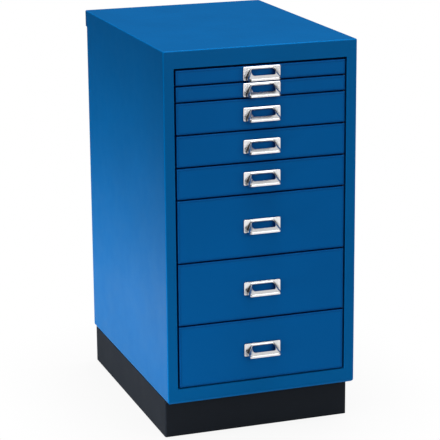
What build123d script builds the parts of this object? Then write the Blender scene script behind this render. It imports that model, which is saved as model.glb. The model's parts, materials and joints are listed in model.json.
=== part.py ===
from build123d import *
import os

# Steel cabinet with eight drawers on a recessed plinth, in millimetres.
# +Z is up, the drawers pull out along -Y, and the origin is on the floor
# under the middle of the overall box.

os.makedirs("parts", exist_ok=True)

# Casing
casing_width = 340.0
casing_depth = 462.0
body_height = 606.0
sheet = 1.0
fold_radius = 2.5
base_fold_radius = 8.0
stile_width = 18.4
top_rail_height = 29.4
bottom_rail_height = 27.2
frame_return = 10.0
frame_edge_radius = 1.5
rear_flange = 15.0
rear_lip_reach = 8.0

# Plinth and the bolts that hold it
plinth_height = 67.0
plinth_sheet = 1.5
plinth_front_inset = 26.7
plinth_side_inset = 3.0
plinth_rear_inset = 2.0
plinth_flange = 30.0
plinth_fold_radius = 3.0
bolt_inset = 18.0
bolt_radius = 4.0
bolt_hole_radius = 4.5
bolt_length = 16.0
hex_across_flats = 13.0
bolt_head_height = 5.3
nut_height = 6.5
nut_thread_clearance = 0.05
washer_radius = 8.0
washer_thickness = 1.6

# Drawer fronts, from the top one down, in units of height
drawer_units = (1, 1, 2, 2, 2, 4, 4, 4)
top_gap = 3.6
seam_gap = 2.4
bottom_gap = 2.4
side_gap = 3.0
front_thickness = 16.0
front_edge_radius = 1.5

# Drawer trays and the runners that carry them
tray_sheet = 0.8
tray_fold_radius = 1.6
tray_floor_rise = 1.5
tray_flange_drop = 4.0
tray_flange_width = 9.0
tray_flange_tip_gap = 2.6
runner_clearance = 0.3
runner_play = 1.2
runner_fold_radius = 1.3
runner_wall_gap = 1.0
runner_end_gap = 1.0
runner_plate_flange = 12.0
drawer_travel = 330.0

# Stops
stop_block_width = 6.5
stop_block_length = 18.0
stop_block_height = 8.0
stop_block_drop = 0.7
stop_block_inset = 2.0
stop_block_bevel = 0.8
stop_tab_thickness = 1.2
stop_tab_wall_gap = 2.5
stop_clearance = 0.3
buffer_radius = 6.0
buffer_length = 8.0
buffer_spacing = 200.0
buffer_edge_radius = 1.0

# Pull, stamped from one sheet
pull_width = 65.0
pull_height = 22.4
pull_sheet = 1.0
pull_corner_radius = 2.0
pull_reach = 18.5
hood_drop = 3.0
hood_top_width = 44.0
hood_base_width = 55.0
hood_lip_width = 56.0
hood_lip_height = 3.5
hood_lip_rise = 1.2
hood_edge_radius = 1.8
window_width = 42.0
window_height = 9.2
window_drop = 4.2
window_corner_radius = 4.0
tab_spacing = 58.0
tab_rise = 3.0
tab_height = 7.0
tab_depth = 3.5
tab_clearance = 0.2

# Planes and lines that several pieces share
casing_half = casing_width / 2
front_y = pull_reach - (pull_reach + casing_depth + rear_lip_reach) / 2
back_y = front_y + casing_depth
lip_y = back_y + rear_lip_reach
casing_top = plinth_height + body_height
opening_top = casing_top - top_rail_height
opening_bottom = plinth_height + bottom_rail_height
opening_half = casing_half - stile_width
back_panel_face = back_y - 2 * sheet
front_half = opening_half - side_gap
flange_tip = opening_half - tray_flange_tip_gap
tray_half = flange_tip - tray_flange_width
tray_front = front_y + front_thickness
tray_back = back_panel_face - buffer_length - stop_clearance
runner_start = max(tray_front, front_y + frame_return) + runner_end_gap
plinth_front = front_y + plinth_front_inset
plinth_back = back_y - plinth_rear_inset
plinth_half = casing_half - plinth_side_inset
stop_block_back = tray_back - stop_block_inset
stop_tab_back = stop_block_back - stop_block_length - drawer_travel - stop_clearance

# Lowest and highest line of each drawer's front, from the top one down
fronts_height = opening_top - top_gap - opening_bottom - bottom_gap
unit_pitch = (fronts_height + seam_gap) / sum(drawer_units)
front_spans = []
span_top = opening_top - top_gap
for units in drawer_units:
    span_bottom = span_top - units * unit_pitch + seam_gap
    front_spans.append((span_bottom, span_top))
    span_top = span_bottom - seam_gap


def save(name, piece):
    """Label a finished piece and write it under its own name."""
    piece.part.label = name
    export_step(piece.part, f"parts/{name}.step")


def side_panel(side):
    """Side sheet with its stile, the stile's folded edge and a rear flange."""
    stile_line = side * (opening_half + sheet / 2)
    side_line = side * (casing_half - sheet / 2)
    flange_end = side * (casing_half - rear_flange)
    with BuildPart() as panel:
        with BuildSketch(Plane.XY.offset(opening_bottom)):
            with BuildLine():
                FilletPolyline(
                    (stile_line, front_y + frame_return),
                    (stile_line, front_y + sheet / 2),
                    (side_line, front_y + sheet / 2),
                    (side_line, back_y - sheet / 2),
                    (flange_end, back_y - sheet / 2),
                    radius=[
                        frame_edge_radius - sheet / 2,
                        fold_radius - sheet / 2,
                        fold_radius - sheet / 2,
                    ],
                )
            trace(line_width=sheet)
        extrude(amount=opening_top - opening_bottom)
    return panel


def base_block(inset):
    """Rounded block of the base pan, drawn in from its outside by inset."""
    width = casing_width - 2 * inset
    depth = casing_depth - 2 * inset
    height = bottom_rail_height - inset
    middle_y = (front_y + back_y) / 2
    lower_radius = base_fold_radius - inset
    with BuildPart() as block:
        with BuildSketch(Plane.XY.offset(plinth_height + inset)):
            with Locations((0, middle_y)):
                RectangleRounded(width, depth, fold_radius - inset)
        extrude(amount=height)
        with BuildSketch(Plane.XZ):
            with Locations((0, opening_bottom)):
                RectangleRounded(width, 2 * height, lower_radius)
        extrude(amount=casing_depth, both=True, mode=Mode.INTERSECT)
        with BuildSketch(Plane.YZ):
            with Locations((middle_y, opening_bottom)):
                RectangleRounded(depth, 2 * height, lower_radius)
        extrude(amount=casing_width, both=True, mode=Mode.INTERSECT)
    return block


def rail_return(height):
    """Folded edge that runs back from a rail, with its lower face at height."""
    with BuildPart() as strip:
        with Locations((0, front_y + (sheet + frame_return) / 2, height + sheet / 2)):
            Box(2 * opening_half, frame_return - sheet, sheet)
    return strip


def bolt_places(height):
    """Places of the four plinth bolts at one height."""
    bolt_x = plinth_half - bolt_inset
    return [
        (x, y, height)
        for x in (-bolt_x, bolt_x)
        for y in (plinth_front + bolt_inset, plinth_back - bolt_inset)
    ]


def runner_plate(side):
    """Inner sheet that laps the stile's folded edge and meets the back panel."""
    plate_line = side * (opening_half + 1.5 * sheet)
    with BuildPart() as plate:
        with BuildSketch(Plane.XY.offset(opening_bottom)):
            with BuildLine():
                FilletPolyline(
                    (plate_line, front_y + 2 * sheet),
                    (plate_line, back_panel_face - sheet / 2),
                    (plate_line + side * runner_plate_flange, back_panel_face - sheet / 2),
                    radius=frame_edge_radius - sheet / 2,
                )
            trace(line_width=sheet)
        extrude(amount=opening_top - opening_bottom)
    return plate


def flange_top(span):
    """Upper face of the side flanges of the drawer whose front fills span."""
    return span[1] - tray_flange_drop


def runner_channels(side):
    """One channel for each drawer, with the tab that stops it."""
    web_line = side * (opening_half + sheet / 2)
    ledge_end = side * (tray_half + runner_wall_gap)
    tab_end = side * (tray_half + stop_tab_wall_gap)
    tab_reach = abs(side * opening_half - tab_end)
    with BuildPart() as channels:
        for span in front_spans:
            upper_line = flange_top(span) + runner_play + sheet / 2
            lower_line = flange_top(span) - tray_sheet - runner_clearance - sheet / 2
            with BuildSketch(Plane.XZ.offset(-runner_start)):
                with BuildLine():
                    FilletPolyline(
                        (ledge_end, lower_line),
                        (web_line, lower_line),
                        (web_line, upper_line),
                        (ledge_end, upper_line),
                        radius=runner_fold_radius - sheet / 2,
                    )
                trace(line_width=sheet)
            extrude(amount=runner_start - back_panel_face + sheet)
            tab_height = stop_block_drop + stop_block_height
            tab_top = lower_line - sheet / 2
            tab_place = (
                (tab_end + side * opening_half) / 2,
                stop_tab_back - stop_tab_thickness / 2,
                tab_top - tab_height / 2,
            )
            with Locations(tab_place):
                Box(tab_reach, stop_tab_thickness, tab_height)
    return channels


def drawer_tray(span):
    """Folded tray with an outward flange along each side."""
    floor = span[0] + tray_floor_rise
    rim = flange_top(span)
    length = tray_back - tray_front
    flange_reach = tray_flange_width + tray_sheet
    with BuildPart() as tray:
        with Locations((0, (tray_front + tray_back) / 2, (floor + rim) / 2)):
            Box(2 * tray_half, length, rim - floor)
        lower_edges = tray.faces().sort_by(Axis.Z)[0].edges()
        fillet(lower_edges + tray.edges().filter_by(Axis.Z), tray_fold_radius)
        offset(amount=-tray_sheet, openings=tray.faces().sort_by(Axis.Z)[-1])
        for side in (-1, 1):
            flange_x = side * (flange_tip - flange_reach / 2)
            flange_length = length - 2 * tray_fold_radius
            with Locations((flange_x, (tray_front + tray_back) / 2, rim - tray_sheet / 2)):
                Box(flange_reach, flange_length, tray_sheet)
    return tray


def drawer_front(span):
    """Double-skinned front, hollow, with a slot for each tab of its pull."""
    height = span[1] - span[0]
    middle = (span[0] + span[1]) / 2
    centre = (0, front_y + front_thickness / 2, middle)
    skin_middle = front_y + sheet / 2
    with BuildPart() as front:
        with Locations(centre):
            Box(2 * front_half, front_thickness, height)
        fillet(front.faces().sort_by(Axis.Y)[0].edges(), front_edge_radius)
        with Locations(centre):
            Box(
                2 * (front_half - sheet),
                front_thickness - 2 * sheet,
                height - 2 * sheet,
                mode=Mode.SUBTRACT,
            )
        for side in (-1, 1):
            with Locations((side * tab_spacing / 2, skin_middle, middle + tab_rise)):
                Box(
                    pull_sheet + 2 * tab_clearance,
                    2 * sheet,
                    tab_height + 2 * tab_clearance,
                    mode=Mode.SUBTRACT,
                )
    return front


def stop_blocks(span):
    """Two plastic blocks on the outside of the tray, near its back."""
    top = flange_top(span) - tray_sheet - runner_clearance - sheet - stop_block_drop
    place_y = stop_block_back - stop_block_length / 2
    with BuildPart() as blocks:
        for side in (-1, 1):
            place_x = side * (tray_half + stop_block_width / 2)
            with Locations((place_x, place_y, top - stop_block_height / 2)):
                Box(stop_block_width, stop_block_length, stop_block_height)
        chamfer(blocks.edges().filter_by(Axis.Z), stop_block_bevel)
    return blocks


# Side panels
for name, side in (("left_side_panel", -1), ("right_side_panel", 1)):
    save(name, side_panel(side))

# Top pan: rail in front, flanges at the sides, overhanging lip behind
with BuildPart() as top_panel:
    with Locations((0, (front_y + lip_y) / 2, casing_top - top_rail_height / 2)):
        Box(casing_width, lip_y - front_y, top_rail_height)
    upper_edges = top_panel.faces().sort_by(Axis.Z)[-1].edges()
    fillet(upper_edges + top_panel.edges().filter_by(Axis.Z), fold_radius)
    offset(amount=-sheet, openings=top_panel.faces().sort_by(Axis.Z)[0])
    lip_end_height = top_rail_height - fold_radius
    lip_end_length = rear_lip_reach - sheet
    with Locations((0, back_y + lip_end_length / 2, opening_top + lip_end_height / 2)):
        Box(casing_width, lip_end_length, lip_end_height, mode=Mode.SUBTRACT)
    add(rail_return(opening_top).part)
save("top_panel", top_panel)

# Base pan: rail in front, flanges at the sides and back, holes for the plinth bolts
base_outside = base_block(0)
base_inside = base_block(sheet)
base_return = rail_return(opening_bottom - sheet)
with BuildPart() as base_panel:
    add(base_outside.part)
    add(base_inside.part, mode=Mode.SUBTRACT)
    add(base_return.part)
    with Locations(bolt_places(plinth_height + sheet)):
        Hole(radius=bolt_hole_radius, depth=sheet)
save("base_panel", base_panel)

# Back panel, inside the rear flanges
with BuildPart() as back_panel:
    back_bottom = plinth_height + base_fold_radius
    back_top = casing_top - sheet
    with Locations((0, back_panel_face + sheet / 2, (back_bottom + back_top) / 2)):
        Box(2 * (casing_half - fold_radius), sheet, back_top - back_bottom)
save("back_panel", back_panel)

# Runner plates and runners
for name, side in (("left", -1), ("right", 1)):
    save(f"{name}_runner_plate", runner_plate(side))
    save(f"{name}_runners", runner_channels(side))

# Rubber pads behind the drawers
with BuildPart() as rear_buffers:
    for span in front_spans:
        middle = (span[0] + tray_floor_rise + flange_top(span)) / 2
        with BuildSketch(Plane.XZ.offset(-back_panel_face)):
            with Locations((-buffer_spacing / 2, middle), (buffer_spacing / 2, middle)):
                Circle(buffer_radius)
        extrude(amount=buffer_length)
    pad_faces = rear_buffers.faces().filter_by(Plane.XZ).group_by(Axis.Y)[0]
    fillet(pad_faces.edges(), buffer_edge_radius)
save("rear_buffers", rear_buffers)

# Plinth: walls with a flange above, bolted to the base, and one below to stand on
plinth_width = 2 * plinth_half
plinth_depth = plinth_back - plinth_front
plinth_middle = (plinth_front + plinth_back) / 2
with BuildPart() as plinth:
    with BuildSketch():
        with Locations((0, plinth_middle)):
            RectangleRounded(plinth_width, plinth_depth, plinth_fold_radius)
    extrude(amount=plinth_height)
    with BuildSketch(Plane.XY.offset(plinth_sheet)):
        with Locations((0, plinth_middle)):
            RectangleRounded(
                plinth_width - 2 * plinth_sheet,
                plinth_depth - 2 * plinth_sheet,
                plinth_fold_radius - plinth_sheet,
            )
    extrude(amount=plinth_height - 2 * plinth_sheet, mode=Mode.SUBTRACT)
    with BuildSketch():
        with Locations((0, plinth_middle)):
            Rectangle(plinth_width - 2 * plinth_flange, plinth_depth - 2 * plinth_flange)
    extrude(amount=plinth_height, mode=Mode.SUBTRACT)
    with Locations(bolt_places(plinth_height)):
        Hole(radius=bolt_hole_radius, depth=plinth_sheet)
save("plinth", plinth)

# Bolts from below, washers and nuts inside the casing
hex_radius = hex_across_flats / 3 ** 0.5
head_top = plinth_height - plinth_sheet
with BuildPart() as plinth_bolts:
    with BuildSketch(Plane.XY.offset(head_top - bolt_head_height)):
        with Locations([(x, y) for x, y, z in bolt_places(0)]):
            RegularPolygon(hex_radius, 6)
    extrude(amount=bolt_head_height)
    with BuildSketch(Plane.XY.offset(head_top)):
        with Locations([(x, y) for x, y, z in bolt_places(0)]):
            Circle(bolt_radius)
    extrude(amount=bolt_length)
save("plinth_bolts", plinth_bolts)

washer_bottom = plinth_height + sheet
with BuildPart() as plinth_washers:
    with BuildSketch(Plane.XY.offset(washer_bottom)):
        with Locations([(x, y) for x, y, z in bolt_places(0)]):
            Circle(washer_radius)
            Circle(bolt_hole_radius, mode=Mode.SUBTRACT)
    extrude(amount=washer_thickness)
save("plinth_washers", plinth_washers)

with BuildPart() as plinth_nuts:
    with BuildSketch(Plane.XY.offset(washer_bottom + washer_thickness)):
        with Locations([(x, y) for x, y, z in bolt_places(0)]):
            RegularPolygon(hex_radius, 6)
            Circle(bolt_radius + nut_thread_clearance, mode=Mode.SUBTRACT)
    extrude(amount=nut_height)
save("plinth_nuts", plinth_nuts)

# Hood of the pull: a wedge that opens downwards, made as one half and mirrored
pull_top = pull_height / 2
pull_bottom = -pull_height / 2
hood_top = pull_top - hood_drop
lip_bottom = pull_bottom + hood_lip_rise
top_corner = Vector(hood_top_width / 2, -pull_sheet, hood_top)
base_corner = Vector(hood_base_width / 2, 0, pull_bottom)
lip_corner = Vector(hood_lip_width / 2, -pull_reach, lip_bottom)
side_normal = (base_corner - top_corner).cross(lip_corner - top_corner)
hood_side = Plane(origin=top_corner, z_dir=side_normal)
with BuildPart() as hood_block:
    with BuildSketch(Plane.YZ):
        with BuildLine():
            Polyline(
                (0, hood_top),
                (-pull_sheet, hood_top),
                (-pull_reach, lip_bottom + hood_lip_height),
                (-pull_reach, lip_bottom),
                (-pull_sheet, pull_bottom),
                (0, pull_bottom),
                close=True,
            )
        make_face()
    extrude(amount=pull_width)
    split(bisect_by=hood_side, keep=Keep.TOP)
    mirror(about=Plane.YZ)
    side_faces = hood_block.faces().sort_by(Axis.X)
    side_edges = side_faces[0].edges() + side_faces[-1].edges()
    outer_edges = side_edges.filter_by(lambda edge: edge.center().Y < -pull_sheet)
    corner_edges = outer_edges.filter_by(lambda edge: edge.center().Z > lip_bottom + hood_lip_height / 4)
    fillet(corner_edges, hood_edge_radius)

with BuildPart() as hood_shell:
    add(hood_block.part)
    back_face = hood_shell.faces().sort_by(Axis.Y)[-1]
    bottom_faces = hood_shell.faces().filter_by(lambda face: face.normal_at().Z < -0.5)
    offset(amount=-pull_sheet, openings=[back_face, *bottom_faces])

with BuildPart() as pull:
    with BuildSketch(Plane.XZ):
        RectangleRounded(pull_width, pull_height, pull_corner_radius)
    extrude(amount=pull_sheet)
    add(hood_block.part, mode=Mode.SUBTRACT)
    add(hood_shell.part)
    with BuildSketch(Plane.XZ):
        with Locations((0, pull_top - window_drop - window_height / 2)):
            RectangleRounded(window_width, window_height, window_corner_radius)
    extrude(amount=2 * pull_reach, mode=Mode.SUBTRACT)
    for side in (-1, 1):
        with Locations((side * tab_spacing / 2, tab_depth / 2, tab_rise)):
            Box(pull_sheet, tab_depth, tab_height)

# Drawers, from the top one down
for number, span in enumerate(front_spans, start=1):
    with BuildPart() as handle:
        with Locations((0, front_y, (span[0] + span[1]) / 2)):
            add(pull.part)
    save(f"drawer_{number}_tray", drawer_tray(span))
    save(f"drawer_{number}_front", drawer_front(span))
    save(f"drawer_{number}_handle", handle)
    save(f"drawer_{number}_stop_blocks", stop_blocks(span))
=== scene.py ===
import json
import math
import bmesh
import bpy
from mathutils import Matrix, Vector


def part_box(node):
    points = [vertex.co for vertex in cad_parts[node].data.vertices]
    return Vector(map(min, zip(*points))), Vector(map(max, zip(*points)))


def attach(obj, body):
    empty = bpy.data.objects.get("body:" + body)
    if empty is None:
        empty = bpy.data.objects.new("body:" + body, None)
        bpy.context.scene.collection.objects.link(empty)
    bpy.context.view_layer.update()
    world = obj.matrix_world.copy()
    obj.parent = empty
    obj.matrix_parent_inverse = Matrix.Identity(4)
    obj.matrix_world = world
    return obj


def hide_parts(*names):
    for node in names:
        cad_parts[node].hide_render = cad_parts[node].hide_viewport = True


# Looks of the drawer cabinet: a finish for every piece, a detailed pull on every
# drawer, a pale floor, soft studio light and the camera. Lengths are in metres,
# +Z is up and the drawers pull out along -Y.

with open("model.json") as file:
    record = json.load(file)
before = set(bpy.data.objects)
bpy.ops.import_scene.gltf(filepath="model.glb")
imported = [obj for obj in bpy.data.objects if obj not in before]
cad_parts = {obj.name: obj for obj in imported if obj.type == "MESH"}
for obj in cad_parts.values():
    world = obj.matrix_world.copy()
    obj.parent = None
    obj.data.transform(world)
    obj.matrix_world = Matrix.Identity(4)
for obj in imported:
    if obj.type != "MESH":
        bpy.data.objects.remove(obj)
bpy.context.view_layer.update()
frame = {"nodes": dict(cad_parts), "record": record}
MM = 0.001
DRAWERS = range(1, 9)

# Camera: its place, its angles, its lens in millimetres, and how far it sees
CAMERA_PLACE = (-1.0791, -3.1172, 1.2104)
CAMERA_AZIMUTH = math.radians(19.158)
CAMERA_PITCH = math.radians(15.113)
CAMERA_ROLL = math.radians(0.453)
CAMERA_LENS = 155.98
SENSOR_WIDTH = 36.0
CAMERA_FAR = 60.0

# Pull, in its own frame: x to the right, y from the drawer's face, negative
# outwards, and z up from the middle of the plate. Its sheet and its plate, how
# far it reaches out, how high the hood stands on the plate, and its fine edges
PULL_SHEET = 1.0 * MM
PULL_HALF_WIDTH = 32.5 * MM
PULL_TOP = 11.2 * MM
PULL_CORNER = 2.0 * MM
PULL_REACH = 18.5 * MM
HOOD_RISE = PULL_REACH - PULL_SHEET
PULL_EDGE = 0.22 * MM

# The hood from the side: the heights at which it leaves the plate and at which
# its lip starts and ends, and the radii of the two bends
HOOD_TOP = 8.2 * MM
LIP_TOP = -6.5 * MM
LIP_BOTTOM = -10.0 * MM
HOOD_TOP_RADIUS = 3.0 * MM
LIP_RADIUS = 1.8 * MM

# The hood from above: its half widths at its top, at its base and at its lip, the
# height at which it has widened to its base, and the radii at its foot and its
# shoulder. A section below the least rise is a flattened one of that rise
HOOD_TOP_HALF = 20.0 * MM
HOOD_BASE_HALF = 27.5 * MM
HOOD_LIP_HALF = 28.0 * MM
HOOD_BASE_HEIGHT = -5.0 * MM
FOOT_RADIUS = 1.6 * MM
SHOULDER_RADIUS = 4.5 * MM
LEAST_RISE = 1.2 * MM

# The window, how far the cutter that rounds the plate's corners stands outside
# it, and the tabs: how far from the middle and how high, and their size
WINDOW_HALF = (21.0 * MM, 4.6 * MM)
WINDOW_MIDDLE = 2.4 * MM
WINDOW_CORNER = 4.0 * MM
CUT_MARGIN = 0.02 * MM
TAB_HALF_SPACING = 29.0 * MM
TAB_RISE = 3.0 * MM
TAB_SIZE = (1.0 * MM, 3.5 * MM, 7.0 * MM)

# Steps along the pull's bends, its outline's corners, half its front, its slope
# and the end of its lip, and the angles from which an edge is rounded or sharp
BEND_STEPS = 6
CORNER_STEPS = 8
FRONT_STEPS = 8
SLOPE_STEPS = 14
LIP_END_STEPS = 3
ROUNDED_ANGLE = math.radians(50)
SHARP_ANGLE = math.radians(40)

# Paints, metals, the painted shade of seams and pull creases, and floor, as linear colours
CASING_BLUE = (0.0, 0.102, 0.308)
DRAWER_BLUE = (0.0, 0.098, 0.322)
SHADED_BLUE = (0.001, 0.013, 0.105)
BLACK = (0.011, 0.014, 0.019)
CHROME = (0.86, 0.86, 0.87)
CREASE_SHADE = (0.02, 0.02, 0.025)
ZINC = (0.50, 0.51, 0.52)
FASTENER = (0.58, 0.57, 0.53)
PLASTIC = (0.62, 0.61, 0.57)
RUBBER = (0.028, 0.028, 0.028)
FLOOR_NEAR = (0.50, 0.50, 0.50)
FLOOR_FAR = (0.05, 0.05, 0.05)

# How rough the blue paint is, from its smoothest to its dullest patches
PAINT_ROUGHNESS = (0.30, 0.39)

# What a value is mapped onto where it falls from 1 to 0, and the values that
# noise mostly has
FALLING = (1.0, 0.0)
NOISE_RANGE = (0.3, 0.7)

# How square to the axes the sheet is on a bend and on a face
BEND_TO_FACE = (0.85, 0.99)

# Shade that a seam throws on a drawer's front: its reach, how alike the rounded
# and the real normal are at the edge and where the shade ends, the side of the
# front that has it, and how far a normal leans there before it starts and is full
SEAM_REACH = 6.0 * MM
SEAM_TO_FACE = (0.80, 0.995)
SHADED_SIDE = (0.6, 0.0, -0.8)
SHADED_LEAN = (0.05, 0.15)

# Shade in the hollow behind a pull: its reach, how open a place is in full shade
# and in none, and how far a face looks backwards where the shade ends
HOLLOW_REACH = 20.0 * MM
HOLLOW_TO_OPEN = (0.4, 0.98)
SIDE_TO_BACK = (0.2, 0.6)

# Shade in the creases of a pull: its reach, and how open a place is in it
CREASE_REACH = 7.0 * MM
CREASE_TO_OPEN = (0.58, 0.92)

# Floor: its width, the stretch over which its colour darkens away from the cabinet
# (a painted pool of light), the reach and the darkest tone of its contact shadow,
# and the pool in front of the cabinet that shiny surfaces see as white
FLOOR_SIZE = 60.0
FLOOR_FADE = (0.6, 2.2)
SHADOW_REACH = 0.25
SHADOW_TONE = 0.88
POOL_CENTRE = (0.8, -2.0, 0.0)
POOL_FADE = (1.2, 2.6)

# Sky: lowest and highest tone, and the heights of direction between them
SKY_TONES = (0.03, 0.75)
SKY_RISE = (0.20, 0.95)

# Lamps: place, what they face, width and height, watts, and whether shiny
# surfaces mirror them
LAMPS = {
    "top_box": ((0.0, -0.2, 2.6), (0.0, 0.0, 0.4), (1.8, 1.8), 43, False),
    "front_box": ((0.6, -3.2, 1.2), (0.0, 0.0, 0.33), (2.4, 1.8), 38, True),
    "left_strip": ((-0.67, 0.1, 0.13), (-0.17, 0.1, 0.12), (1.2, 0.18), 6.2, False),
}


def scaled(colour, factor):
    return tuple(min(1.0, channel * factor) for channel in colour)


class Graph:
    """Node tree of a material or a world, with short calls that add and join nodes."""

    def __init__(self, owner):
        owner.use_nodes = True
        self.nodes = owner.node_tree.nodes
        self.links = owner.node_tree.links

    def add(self, kind, **settings):
        node = self.nodes.new(kind)
        for name, value in settings.items():
            setattr(node, name, value)
        return node

    def join(self, value, socket):
        """Link an output to a socket, or set the socket to a plain value."""
        if isinstance(value, bpy.types.NodeSocket):
            self.links.new(value, socket)
        else:
            socket.default_value = value

    def math(self, operation, first, second=0.0, kind="ShaderNodeMath", output=0):
        node = self.add(kind, operation=operation)
        self.join(first, node.inputs[0])
        self.join(second, node.inputs[1])
        return node.outputs[output]

    def vector_math(self, operation, first, second):
        """Dot product or distance of two vectors."""
        return self.math(operation, first, second, "ShaderNodeVectorMath", "Value")

    def axes(self, vector):
        node = self.add("ShaderNodeSeparateXYZ")
        self.links.new(vector, node.inputs[0])
        return node.outputs

    def spread(self, value, onto=(0.0, 1.0), over=(0.0, 1.0), curve="LINEAR"):
        """Value mapped from the range that it runs over onto another, and held at its ends."""
        node = self.add("ShaderNodeMapRange", interpolation_type=curve)
        self.join(value, node.inputs["Value"])
        for name, number in zip(("From Min", "From Max", "To Min", "To Max"), (*over, *onto)):
            node.inputs[name].default_value = number
        return node.outputs["Result"]


class Material(Graph):
    """New material, with calls for its patterns and its surface shader."""

    def __init__(self, name):
        self.material = bpy.data.materials.new(name)
        super().__init__(self.material)
        self.shader = self.nodes["Principled BSDF"]
        self.place = self.add("ShaderNodeTexCoord").outputs["Object"]

    def stretched(self, scale):
        node = self.add("ShaderNodeMapping")
        self.links.new(self.place, node.inputs["Vector"])
        node.inputs["Scale"].default_value = scale
        return node.outputs["Vector"]

    def noise(self, size, detail=2.0, roughness=0.5, place=None):
        """Noise with features of about that size in metres, from 0 to 1."""
        node = self.add("ShaderNodeTexNoise")
        self.links.new(place or self.place, node.inputs["Vector"])
        node.inputs["Scale"].default_value = 1 / size
        node.inputs["Detail"].default_value = detail
        node.inputs["Roughness"].default_value = roughness
        return node.outputs["Fac"]

    def cells(self, size):
        """Cells of about that size in metres, each with a tone of its own."""
        node = self.add("ShaderNodeTexVoronoi")
        self.links.new(self.place, node.inputs["Vector"])
        node.inputs["Scale"].default_value = 1 / size
        return node.outputs["Color"]

    def openness(self, reach, samples):
        """1 in the open, less where something closes a place in within that reach."""
        node = self.add("ShaderNodeAmbientOcclusion", samples=samples)
        node.inputs["Distance"].default_value = reach
        return node.outputs["AO"]

    def mixed(self, factor, first, second):
        """Colour between two, each of them an output or a plain colour."""
        node = self.add("ShaderNodeMix", data_type="RGBA")
        self.join(factor, node.inputs["Factor"])
        for colour, name in ((first, "A"), (second, "B")):
            if isinstance(colour, tuple):
                colour = (*colour, 1)
            self.join(colour, node.inputs[name])
        return node.outputs["Result"]

    def tones(self, factor, colour, low, high):
        """Colour that runs from low times itself to high times itself."""
        return self.mixed(factor, scaled(colour, low), scaled(colour, high))

    def bump(self, height, depth, below=None):
        """Bump whose heights of 0 to 1 are that deep in metres."""
        node = self.add("ShaderNodeBump")
        self.links.new(height, node.inputs["Height"])
        node.inputs["Distance"].default_value = depth
        if below is not None:
            self.links.new(below, node.inputs["Normal"])
        return node.outputs["Normal"]

    def shade(self, **values):
        """Set or link the named inputs of the surface shader, and return the material."""
        for name, value in values.items():
            self.join(value, self.shader.inputs[name.replace("_", " ")])
        return self.material


def bent_share(graph, normal):
    """1 on the sheet's bends, 0 on its faces, which all lie square to the axes."""
    x, y, z = (graph.math("ABSOLUTE", axis) for axis in graph.axes(normal))
    squareness = graph.math("MAXIMUM", x, graph.math("MAXIMUM", y, z))
    return graph.spread(squareness, FALLING, over=BEND_TO_FACE)


def seam_share(graph, normal):
    """1 along the lower and right edges of a drawer's front, which lie in the seam's shade."""
    bevel = graph.add("ShaderNodeBevel", samples=6)
    bevel.inputs["Radius"].default_value = SEAM_REACH
    rounded = bevel.outputs["Normal"]
    likeness = graph.vector_math("DOT_PRODUCT", rounded, normal)
    edge = graph.spread(likeness, FALLING, over=SEAM_TO_FACE)
    lean = graph.vector_math("DOT_PRODUCT", rounded, SHADED_SIDE)
    return graph.math("MULTIPLY", edge, graph.spread(lean, over=SHADED_LEAN))


def hollow_share(graph, normal):
    """Share of painted shade: 1 deep in a seam or behind the pull, 0 in the open and on the
    front's back.
    """
    openness = graph.openness(HOLLOW_REACH, samples=6)
    covered = graph.spread(openness, FALLING, over=HOLLOW_TO_OPEN)
    backward = graph.vector_math("DOT_PRODUCT", normal, (0, 1, 0))
    return graph.math("MULTIPLY", covered, graph.spread(backward, FALLING, over=SIDE_TO_BACK))


def enamel(name, colour, roughness, gloss=0.04, bend_highlight=1.5, shaded=False):
    """Stoved paint on sheet: slight clouding and specks, faint peel, and a painted highlight on
    bends.

    A shaded paint also has painted shade along the seams and in the hollow behind the pull.
    """
    graph = Material(name)
    normal = graph.add("ShaderNodeNewGeometry").outputs["Normal"]
    cloud = graph.noise(size=160 * MM, detail=3.0)
    speck = graph.noise(size=1.6 * MM, detail=1.0)
    speck_share = graph.spread(speck, onto=(0.0, 0.25), over=(0.4, 0.7))
    tone = graph.tones(graph.spread(cloud, over=NOISE_RANGE), colour, low=0.96, high=1.04)
    tone = graph.mixed(speck_share, tone, scaled(colour, factor=1.12))
    # Bends are painted lighter than the faces: a painted highlight along every fold.
    tone = graph.mixed(bent_share(graph, normal), tone, scaled(colour, bend_highlight))
    # Painted shade: the seams' edges and the hollow behind the pull turn dark blue.
    if shaded:
        for share in (seam_share(graph, normal), hollow_share(graph, normal)):
            tone = graph.mixed(share, tone, SHADED_BLUE)
    wiped = graph.noise(size=50 * MM, detail=4.0, roughness=0.6)
    peel = graph.bump(graph.noise(size=2.8 * MM, detail=1.5), depth=0.010 * MM)
    return graph.shade(
        Base_Color=tone,
        Roughness=graph.spread(wiped, onto=roughness, over=NOISE_RANGE),
        Specular_IOR_Level=gloss,
        Normal=graph.bump(cloud, depth=0.25 * MM, below=peel),
    )


def plated(name, colour, roughness):
    """Bright plating on a stamped sheet, with faint wipe marks and painted shade in its creases.
    """
    graph = Material(name)
    wiped = graph.noise(size=6 * MM, detail=4.0, roughness=0.65)
    streaks = graph.noise(size=1.2 * MM, place=graph.stretched((0.12, 1.0, 1.0)))
    tone = graph.tones(graph.spread(wiped, over=(0.35, 0.7)), colour, low=1.0, high=0.93)
    # Painted shade: the plating turns near black where the pull closes a place in.
    openness = graph.openness(CREASE_REACH, samples=8)
    tone = graph.mixed(graph.spread(openness, FALLING, over=CREASE_TO_OPEN), tone, CREASE_SHADE)
    return graph.shade(
        Base_Color=tone,
        Metallic=1.0,
        Roughness=graph.spread(streaks, onto=roughness, over=(0.35, 0.7)),
        Normal=graph.bump(wiped, depth=0.02 * MM),
    )


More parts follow.
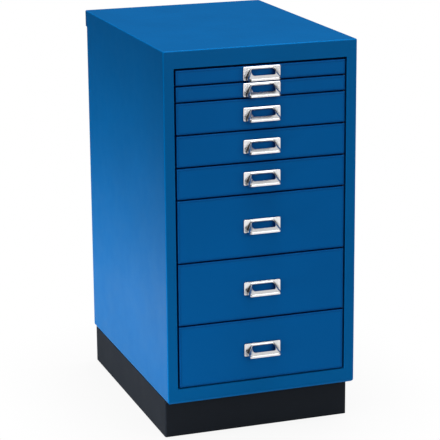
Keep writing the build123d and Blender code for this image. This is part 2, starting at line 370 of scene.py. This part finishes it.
def galvanised(name, colour, roughness, crystal_size):
    """Zinc-plated steel with a faint crystal pattern and rolling marks."""
    graph = Material(name)
    share = graph.spread(graph.cells(crystal_size))
    rolled = graph.noise(size=0.9 * MM, detail=3.0, place=graph.stretched((1.0, 0.06, 1.0)))
    return graph.shade(
        Base_Color=graph.tones(share, colour, low=0.88, high=1.1),
        Metallic=0.85,
        Roughness=graph.spread(share, onto=roughness),
        Normal=graph.bump(rolled, depth=0.006 * MM),
    )


def moulded(name, colour, roughness, grain_depth):
    """Moulded plastic or rubber with a fine grain."""
    graph = Material(name)
    cloud = graph.noise(size=12 * MM, detail=3.0)
    grain = graph.noise(size=0.7 * MM)
    tone = graph.tones(graph.spread(cloud, over=NOISE_RANGE), colour, low=0.92, high=1.06)
    return graph.shade(
        Base_Color=tone,
        Roughness=graph.spread(grain, onto=roughness),
        Normal=graph.bump(grain, depth=grain_depth),
    )


# The finish of every material slot, with its colour and its roughness where it is
# smoothest and dullest, that of the drawer fronts, and the slot of every CAD node
FINISHES = {
    "casing_paint": enamel("casing_enamel", CASING_BLUE, PAINT_ROUGHNESS),
    "drawer_paint": enamel("drawer_enamel", DRAWER_BLUE, PAINT_ROUGHNESS),
    "plinth_paint": enamel("plinth_enamel", BLACK, (0.64, 0.73), gloss=0.08),
    "pull_chrome": plated("bright_plating", CHROME, (0.15, 0.24)),
    "inner_steel": galvanised("runner_zinc", ZINC, (0.32, 0.46), crystal_size=6 * MM),
    "fastener_zinc": galvanised("fastener_plating", FASTENER, (0.28, 0.42), crystal_size=2 * MM),
    "block_plastic": moulded("slide_plastic", PLASTIC, (0.37, 0.50), grain_depth=0.010 * MM),
    "buffer_rubber": moulded("pad_rubber", RUBBER, (0.67, 0.80), grain_depth=0.030 * MM),
}
FRONT_FINISH = enamel("front_enamel", DRAWER_BLUE, PAINT_ROUGHNESS, bend_highlight=1.3, shaded=True)
SLOTS = {part["node"]: part["material_slot"] for part in frame["record"]["subparts"]}


def even(count):
    """Shares from 0 to 1 in that many equal steps."""
    return [step / count for step in range(count + 1)]


def rounded_line(corners, radii):
    """Points along a flat line whose inner corners are arcs of those radii."""
    corners = [Vector(corner) for corner in corners]
    points = [corners[0]]
    for before, corner, after, radius in zip(corners, corners[1:], corners[2:], radii):
        back = (before - corner).normalized()
        ahead = (after - corner).normalized()
        half = back.angle(ahead) / 2
        centre = corner + (back + ahead).normalized() * radius / math.sin(half)
        first = corner + back * radius / math.tan(half) - centre
        start = math.atan2(first.y, first.x)
        turn = math.pi - 2 * half
        if back.x * ahead.y - back.y * ahead.x > 0:
            turn = -turn
        for share in even(BEND_STEPS):
            angle = start + turn * share
            points.append(centre + radius * Vector((math.cos(angle), math.sin(angle))))
    points.append(corners[-1])
    return points


def hood_half(rise, height):
    """Half width of the hood where it stands that far off the plate, at that height."""
    drop = (HOOD_TOP - height) / (HOOD_TOP - HOOD_BASE_HEIGHT)
    foot = HOOD_TOP_HALF + (HOOD_BASE_HALF - HOOD_TOP_HALF) * min(1.0, max(0.0, drop))
    return foot + (HOOD_LIP_HALF - HOOD_BASE_HALF) * rise / HOOD_RISE


def pull_section(rise, height):
    """Right half of a level section of the pull, from its edge in to the middle."""
    full = max(rise, LEAST_RISE)
    foot = hood_half(0.0, height)
    shoulder = hood_half(rise, height)
    foot_radius = min(FOOT_RADIUS, full / 2)
    line = rounded_line(
        [(PULL_HALF_WIDTH, 0.0), (foot, 0.0), (shoulder, full), (0.0, full)],
        [foot_radius, min(SHOULDER_RADIUS, full - foot_radius)],
    )
    line = [Vector((x, y * rise / full)) for x, y in line[1:-1]]
    edge = [Vector((PULL_HALF_WIDTH, 0.0)), Vector(((PULL_HALF_WIDTH + line[0].x) / 2, 0.0))]
    front = [Vector((line[-1].x * (1 - share), rise)) for share in even(FRONT_STEPS)[1:]]
    return edge + line + front


def pull_row(skin, rise, height, front_height, plate_height):
    """Corners along one line of the pull, from its left edge to its right.

    The line has the section of the given height. It runs at the plate's height
    beside the hood, and at the front's height on the hood's front.
    """
    half = pull_section(rise, height)
    points = [Vector((-x, y)) for x, y in half] + list(reversed(half[:-1]))
    corners = []
    for x, y in points:
        z = plate_height + (front_height - plate_height) * y / HOOD_RISE
        corners.append(skin.verts.new((x, -PULL_SHEET - y, z)))
    return corners


def pull_skin():
    """Outer face of the stamped pull, without its window: plate, hood and lip."""
    profile = rounded_line(
        [(0.0, PULL_TOP), (0.0, HOOD_TOP), (HOOD_RISE, LIP_TOP), (HOOD_RISE, LIP_BOTTOM)],
        [HOOD_TOP_RADIUS, LIP_RADIUS],
    )
    bend_end = BEND_STEPS + 2
    top_line, lip_line = profile[:bend_end], profile[bend_end:-1]
    slope = [top_line[-1].lerp(lip_line[0], share) for share in even(SLOPE_STEPS)[1:-1]]
    skin = bmesh.new()
    grid = [
        pull_row(skin, rise, height, height, height)
        for rise, height in top_line + slope + lip_line
    ]
    end_height = lip_line[-1].y
    for share in even(LIP_END_STEPS)[1:]:
        front = end_height + (LIP_BOTTOM - end_height) * share
        plate = end_height + (-PULL_TOP - end_height) * share
        grid.append(pull_row(skin, HOOD_RISE, end_height, front, plate))
    for upper, lower in zip(grid, grid[1:]):
        for column in range(len(upper) - 1):
            skin.faces.new((upper[column], lower[column], lower[column + 1], upper[column + 1]))
    bmesh.ops.recalc_face_normals(skin, faces=skin.faces)
    return skin


def rounded_block(half_x, half_z, middle, radius):
    """Block through the pull along Y, with the outline of a rounded rectangle."""
    block = bmesh.new()
    outline = []
    for quarter, (side, level) in enumerate(((1, 1), (-1, 1), (-1, -1), (1, -1))):
        for share in even(CORNER_STEPS):
            angle = math.radians(90 * (quarter + share))
            x = side * (half_x - radius) + radius * math.cos(angle)
            z = level * (half_z - radius) + radius * math.sin(angle)
            outline.append((x, middle + z))
    front = [block.verts.new((x, -2 * PULL_REACH, z)) for x, z in outline]
    back = [block.verts.new((x, PULL_REACH, z)) for x, z in outline]
    block.faces.new(front)
    block.faces.new(reversed(back))
    for place, corner in enumerate(front):
        after = (place + 1) % len(front)
        block.faces.new((corner, back[place], back[after], front[after]))
    bmesh.ops.recalc_face_normals(block, faces=block.faces)
    return block


def loose_object(name, work):
    """Object in the scene with the mesh of a bmesh, which is freed."""
    mesh = bpy.data.meshes.new(name)
    work.to_mesh(mesh)
    work.free()
    piece = bpy.data.objects.new(name, mesh)
    bpy.context.scene.collection.objects.link(piece)
    return piece


def add_tabs(mesh):
    """Two tabs behind the plate that reach through the slots of the drawer's front."""
    work = bmesh.new()
    work.from_mesh(mesh)
    depth = TAB_SIZE[1]
    for side in (-1, 1):
        corners = bmesh.ops.create_cube(work, size=1.0)["verts"]
        bmesh.ops.scale(work, vec=TAB_SIZE, verts=corners)
        place = (side * TAB_HALF_SPACING, depth / 2, TAB_RISE)
        bmesh.ops.translate(work, vec=place, verts=corners)
        edges = {edge for corner in corners for edge in corner.link_edges}
        bmesh.ops.bevel(work, geom=list(edges), offset=PULL_EDGE, segments=1, affect="EDGES")
    work.to_mesh(mesh)
    work.free()


def pull_mesh():
    """The pull with its sheet thickness, window, rounded edges and tabs."""
    window = rounded_block(*WINDOW_HALF, WINDOW_MIDDLE, WINDOW_CORNER)
    plate = rounded_block(PULL_HALF_WIDTH + CUT_MARGIN, PULL_TOP + CUT_MARGIN, 0.0, PULL_CORNER)
    blank = loose_object("pull_blank", pull_skin())
    sheet = blank.modifiers.new("sheet", "SOLIDIFY")
    sheet.thickness = PULL_SHEET
    sheet.offset = -1.0
    sheet.use_even_offset = True
    cutters = []
    cuts = (("window", window, "DIFFERENCE"), ("plate", plate, "INTERSECT"))
    for name, block, operation in cuts:
        cut = blank.modifiers.new(name, "BOOLEAN")
        cut.operation = operation
        cut.solver = "EXACT"
        cut.object = loose_object(name, block)
        cutters.append(cut.object)
    edges = blank.modifiers.new("edges", "BEVEL")
    edges.width = PULL_EDGE
    edges.segments = 2
    edges.limit_method = "ANGLE"
    edges.angle_limit = ROUNDED_ANGLE
    cut_blank = blank.evaluated_get(bpy.context.evaluated_depsgraph_get())
    mesh = bpy.data.meshes.new_from_object(cut_blank)
    for piece in (blank, *cutters):
        bpy.data.objects.remove(piece)
    add_tabs(mesh)
    mesh.name = "pull"
    mesh.shade_smooth()
    mesh.set_sharp_from_angle(angle=SHARP_ANGLE)
    mesh.materials.clear()
    mesh.materials.append(FINISHES["pull_chrome"])
    return mesh


def make_pulls():
    """The detailed pull of every drawer, where the frame has its plain one."""
    mesh = pull_mesh()
    for number in DRAWERS:
        low, high = (Vector(corner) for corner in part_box(f"drawer_{number}_handle"))
        pull = bpy.data.objects.new(f"drawer_{number}_pull", mesh)
        bpy.context.scene.collection.objects.link(pull)
        pull.location = ((low.x + high.x) / 2, low.y + PULL_REACH, (low.z + high.z) / 2)
        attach(pull, f"drawer_{number}")
        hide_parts(f"drawer_{number}_handle")


def dress_frame():
    """Give every CAD node the finish of its slot, and the drawer fronts their own."""
    for name, node in frame["nodes"].items():
        finish = FRONT_FINISH if name.endswith("_front") else FINISHES[SLOTS[name]]
        for slot in node.material_slots:
            slot.material = finish


def floor_paper():
    """Pale paper whose colour darkens the further it is from the cabinet: a painted pool of
    light.

    The camera and glass see it white, with the cabinet's contact shadow, and
    shiny surfaces see its pool in the same way.
    """
    graph = Material("floor_paper")
    away = graph.vector_math("DISTANCE", graph.place, (0, 0, 0))
    # Painted pool of light: the paper's colour darkens away from the cabinet.
    fade = graph.spread(away, over=FLOOR_FADE)
    graph.shade(Base_Color=graph.mixed(fade, FLOOR_NEAR, FLOOR_FAR), Roughness=0.9)
    glow = graph.add("ShaderNodeEmission")
    openness = graph.openness(SHADOW_REACH, samples=16)
    graph.join(graph.spread(openness, onto=(SHADOW_TONE, 1.0)), glow.inputs["Color"])
    off_centre = graph.vector_math("DISTANCE", graph.place, POOL_CENTRE)
    pool = graph.spread(off_centre, FALLING, over=POOL_FADE)
    path = graph.add("ShaderNodeLightPath").outputs
    seen = graph.math("MAXIMUM", path["Is Camera Ray"], path["Is Transmission Ray"])
    mirrored = graph.math("MULTIPLY", path["Is Glossy Ray"], pool)
    surface = graph.add("ShaderNodeMixShader")
    graph.join(graph.math("MAXIMUM", seen, mirrored), surface.inputs[0])
    graph.join(graph.shader.outputs[0], surface.inputs[1])
    graph.join(glow.outputs[0], surface.inputs[2])
    graph.join(surface.outputs[0], graph.nodes["Material Output"].inputs["Surface"])
    return graph.material


def make_floor():
    """Wide flat floor under the cabinet."""
    mesh = bpy.data.meshes.new("floor")
    half = FLOOR_SIZE / 2
    corners = [(-half, -half, 0), (half, -half, 0), (half, half, 0), (-half, half, 0)]
    mesh.from_pydata(corners, [], [(0, 1, 2, 3)])
    mesh.materials.append(floor_paper())
    floor = bpy.data.objects.new("floor", mesh)
    bpy.context.scene.collection.objects.link(floor)


def area_light(name, place, target, size, power, mirrored):
    """Soft box at place that faces target; the camera doesn't see it."""
    data = bpy.data.lights.new(name, "AREA")
    data.shape = "RECTANGLE"
    data.size, data.size_y = size
    data.energy = power
    lamp = bpy.data.objects.new(name, data)
    lamp.location = place
    lamp.rotation_mode = "QUATERNION"
    lamp.rotation_quaternion = (Vector(target) - Vector(place)).to_track_quat("-Z", "Y")
    lamp.visible_camera = False
    lamp.visible_glossy = mirrored
    bpy.context.scene.collection.objects.link(lamp)


def make_world():
    """Dim studio air, brighter overhead, that is white to the camera and through glass."""
    world = bpy.data.worlds.new("studio")
    bpy.context.scene.world = world
    graph = Graph(world)
    direction = graph.add("ShaderNodeTexCoord").outputs["Generated"]
    upward = graph.axes(direction)["Z"]
    strength = graph.spread(upward, onto=SKY_TONES, over=SKY_RISE, curve="SMOOTHSTEP")
    path = graph.add("ShaderNodeLightPath").outputs
    for ray in ("Is Camera Ray", "Is Transmission Ray"):
        strength = graph.math("MAXIMUM", strength, path[ray])
    background = graph.nodes["Background"]
    background.inputs["Color"].default_value = (1, 1, 1, 1)
    graph.join(strength, background.inputs["Strength"])


def make_light():
    """Sky and lamps."""
    make_world()
    for name, settings in LAMPS.items():
        area_light(name, *settings)


def make_camera():
    """Camera at the photograph's angle, without shift."""
    data = bpy.data.cameras.new("camera")
    data.sensor_width = SENSOR_WIDTH
    data.lens = CAMERA_LENS
    data.clip_end = CAMERA_FAR
    camera = bpy.data.objects.new("camera", data)
    turn = Matrix.Rotation(-CAMERA_AZIMUTH, 4, "Z")
    pitch = Matrix.Rotation(math.pi / 2 - CAMERA_PITCH, 4, "X")
    roll = Matrix.Rotation(-CAMERA_ROLL, 4, "Z")
    camera.matrix_world = Matrix.Translation(CAMERA_PLACE) @ turn @ pitch @ roll
    bpy.context.scene.collection.objects.link(camera)
    bpy.context.scene.camera = camera


dress_frame()
make_pulls()
make_floor()
make_light()
make_camera()
bpy.context.scene.view_settings.view_transform = "Standard"
